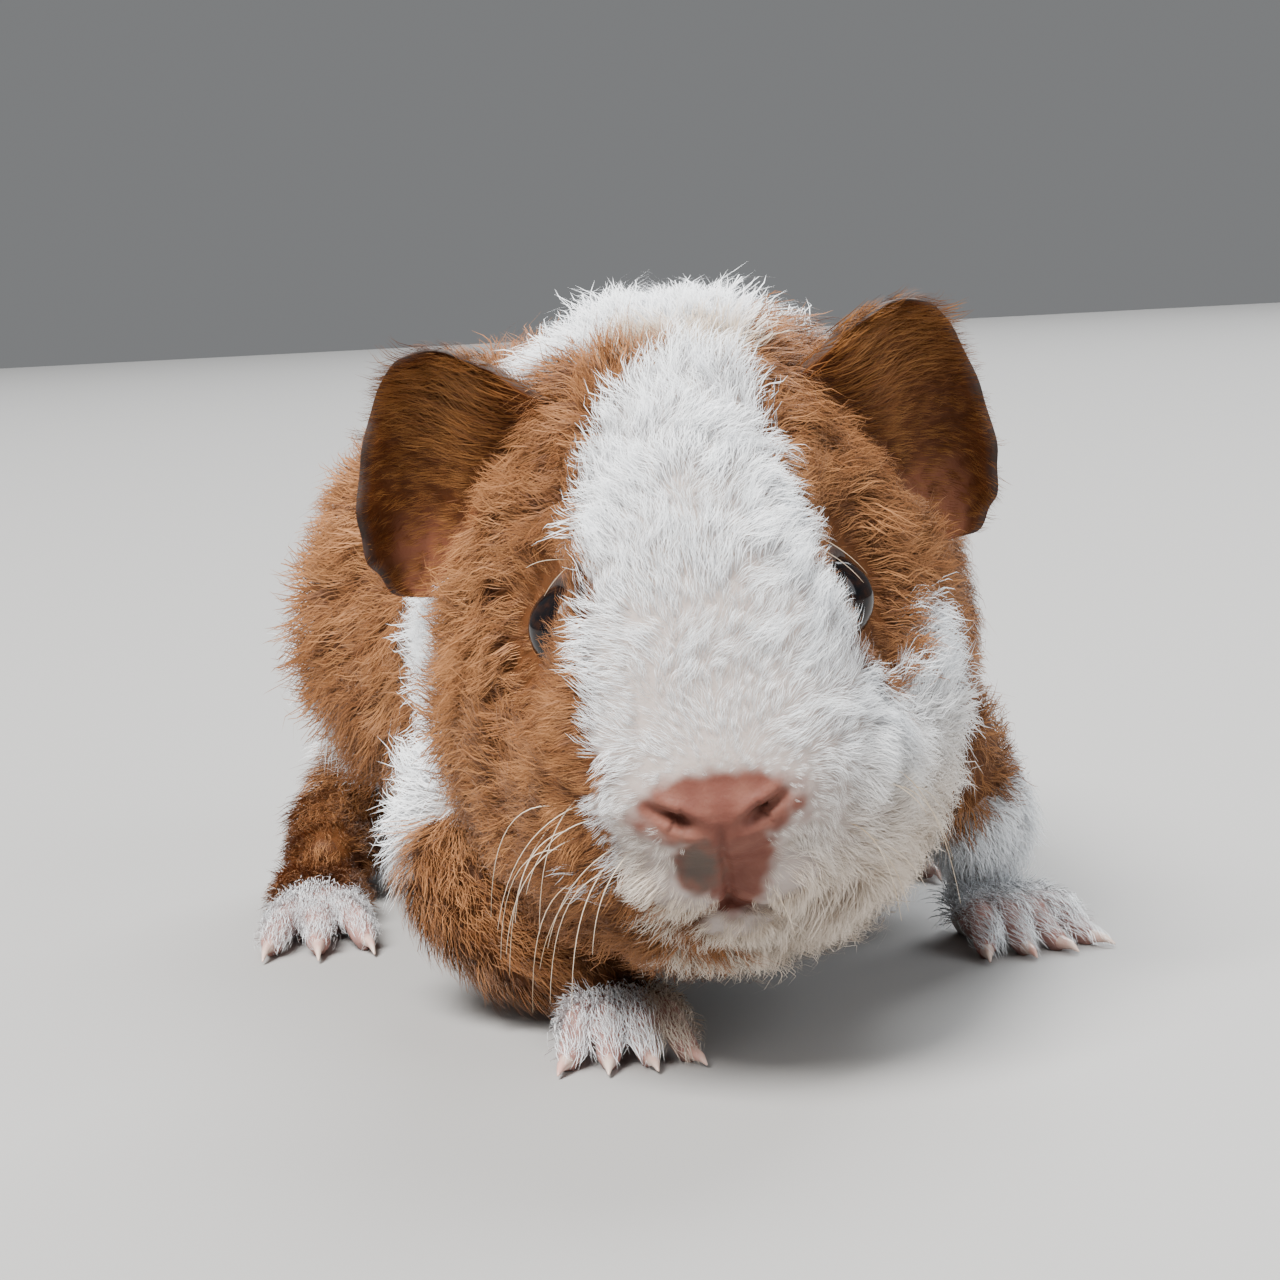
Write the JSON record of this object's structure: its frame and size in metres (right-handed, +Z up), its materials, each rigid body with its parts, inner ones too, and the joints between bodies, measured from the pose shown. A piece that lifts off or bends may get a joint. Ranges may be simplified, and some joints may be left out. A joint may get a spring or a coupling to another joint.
{
  "type": "young teddy guinea pig, still life-size model",
  "caption": "Young teddy guinea pig standing on four feet, woolly russet coat with white blaze, collar and rump band.",
  "frame": {"origin": "on the floor, under the middle of the bounding box", "axes": "+Z up, the nose points along -Y and the rump along +Y, the animal's left is +X"},
  "size_m": [0.095, 0.1616, 0.0749],
  "materials": {
    "coat_russet": "woolly russet-brown hair",
    "coat_white": "woolly white hair",
    "ear_skin": "thin dark grey-brown skin",
    "eye_black": "wet glossy black",
    "skin_pink": "bare pink skin"
  },
  "bodies": {
    "root": {"head": "coat_russet", "neck": "coat_white", "torso": "coat_russet", "rump": "coat_russet", "nose": "skin_pink", "eye_left": "eye_black", "eye_right": "eye_black", "ear_left": "ear_skin", "ear_right": "ear_skin", "foreleg_right": "coat_russet", "foreleg_left": "coat_white", "hindleg_right": "coat_russet", "hindleg_left": "coat_russet", "forefoot_right": "skin_pink", "forefoot_left": "skin_pink", "hindfoot_right": "skin_pink", "hindfoot_left": "skin_pink"}
  },
  "joints": []
}
